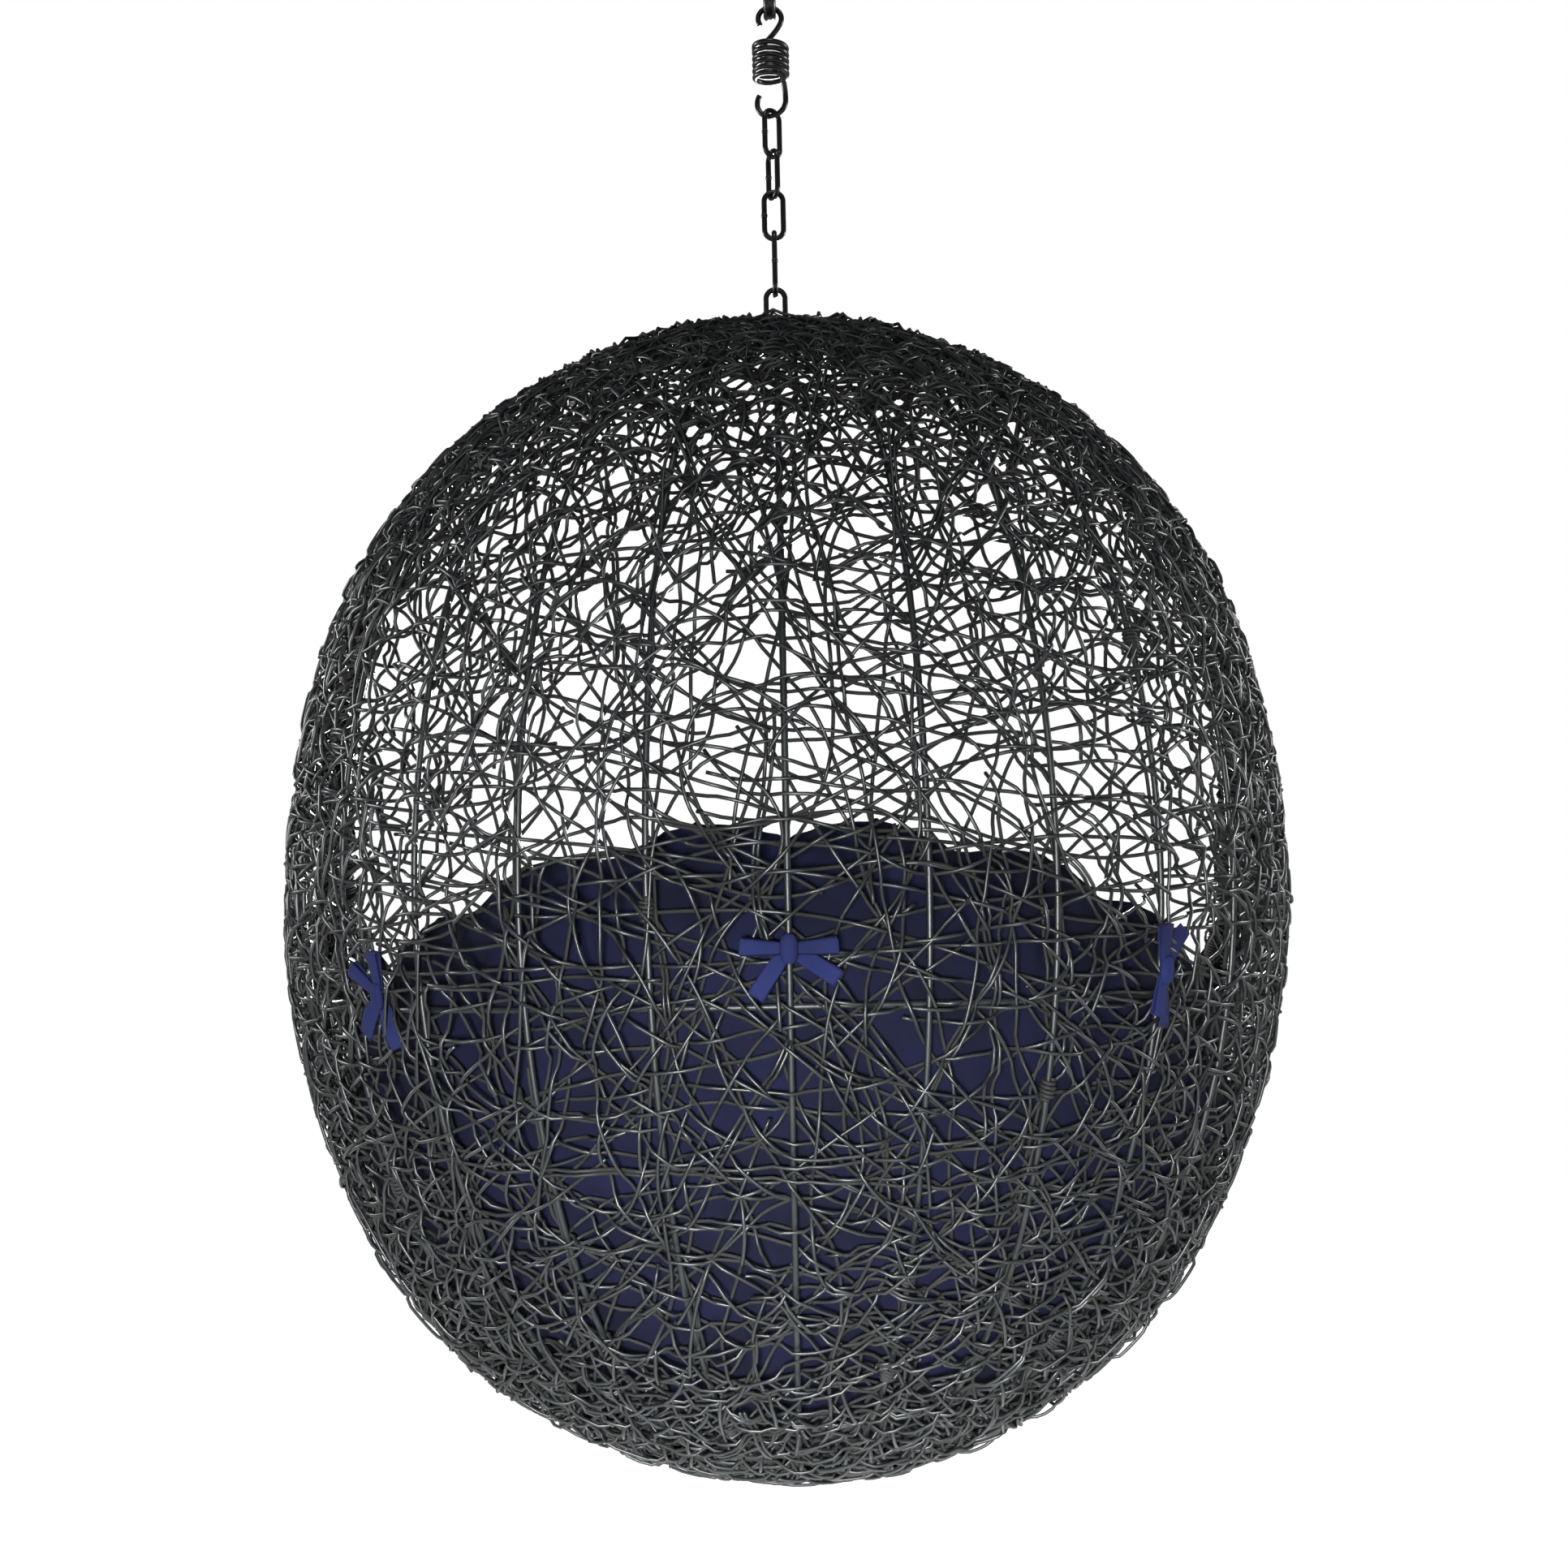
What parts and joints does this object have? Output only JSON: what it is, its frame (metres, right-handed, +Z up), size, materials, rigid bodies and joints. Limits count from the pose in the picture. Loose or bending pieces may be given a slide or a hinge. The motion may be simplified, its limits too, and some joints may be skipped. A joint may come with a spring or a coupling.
{
  "type": "hanging egg chair",
  "caption": "Hanging egg chair: a woven basket on a welded rod frame with a tufted round cushion, tied in with bows, hung from a coil spring and a short chain.",
  "frame": {"origin": "middle of the hanger link's inner top, where it rests on what holds the chair up", "axes": "+Z up, +X to the left of someone who sits in the chair, -Y out of the basket's open front"},
  "size_m": [0.9984, 0.8778, 1.5501],
  "materials": {
    "black_steel": "satin black paint",
    "frame_steel": "grey powder coat",
    "wicker": "extruded resin wicker",
    "cushion_cloth": "woven polyester",
    "tie_ribbon": "woven ribbon"
  },
  "bodies": {
    "hanger": {"hanger_link": "black_steel"},
    "spring_top": {"spring_top_hook": "black_steel", "spring_coil": "black_steel"},
    "spring_bottom": {"spring_bottom_hook": "black_steel"},
    "link_1": {"chain_link_1": "black_steel"},
    "link_2": {"chain_link_2": "black_steel"},
    "link_3": {"chain_link_3": "black_steel"},
    "link_4": {"chain_link_4": "black_steel"},
    "basket": {"hanging_eye": "black_steel", "crown_plate": "frame_steel", "rim_tube": "frame_steel", "rim_wrap": "wicker", "seat_hoop": "frame_steel", "base_ring": "frame_steel", "rib_back": "frame_steel", "rib_front": "frame_steel", "rib_left_1": "frame_steel", "rib_left_2": "frame_steel", "rib_left_3": "frame_steel", "rib_left_4": "frame_steel", "rib_left_5": "frame_steel", "rib_left_6": "frame_steel", "rib_left_7": "frame_steel", "rib_left_8": "frame_steel", "rib_left_9": "frame_steel", "rib_left_10": "frame_steel", "rib_left_11": "frame_steel", "rib_left_12": "frame_steel", "rib_right_1": "frame_steel", "rib_right_2": "frame_steel", "rib_right_3": "frame_steel", "rib_right_4": "frame_steel", "rib_right_5": "frame_steel", "rib_right_6": "frame_steel", "rib_right_7": "frame_steel", "rib_right_8": "frame_steel", "rib_right_9": "frame_steel", "rib_right_10": "frame_steel", "rib_right_11": "frame_steel", "rib_right_12": "frame_steel", "wicker_shell": "wicker", "cushion": "cushion_cloth", "tie_back": "tie_ribbon", "tie_left": "tie_ribbon", "tie_right": "tie_ribbon", "tie_side_right": "tie_ribbon", "tie_side_left": "tie_ribbon"}
  },
  "joints": [
    {"name": "hook_sway", "type": "hinge", "parent": "hanger", "child": "spring_top", "pos_m": [0, 0, -0.05064], "axis": [0, 1, 0], "range_deg": [-12, 12]},
    {"name": "spring_bounce", "type": "slide", "parent": "spring_top", "child": "spring_bottom", "axis": [0, 0, -1], "range_m": [-0.012, 0.04], "stiffness_N_per_m": 30000, "springref_m": -0.00716, "deforming": ["spring_coil"]},
    {"name": "link_1_swing", "type": "hinge", "parent": "spring_bottom", "child": "link_1", "pos_m": [0, 0, -0.15864], "axis": [0.9511, -0.309, 0], "range_deg": [-12, 12]},
    {"name": "link_2_swing", "type": "hinge", "parent": "link_1", "child": "link_2", "pos_m": [0, 0, -0.20329], "axis": [0.766, 0.6428, 0], "range_deg": [-12, 12]},
    {"name": "link_3_swing", "type": "hinge", "parent": "link_2", "child": "link_3", "pos_m": [0, 0, -0.24799], "axis": [0.4695, -0.8829, 0], "range_deg": [-12, 12]},
    {"name": "link_4_swing", "type": "hinge", "parent": "link_3", "child": "link_4", "pos_m": [0, 0, -0.29269], "axis": [1, 0, 0], "range_deg": [-12, 12]},
    {"name": "basket_sway", "type": "hinge", "parent": "link_4", "child": "basket", "pos_m": [0, 0, -0.35339], "axis": [0, 1, 0], "range_deg": [-12, 12]}
  ]
}
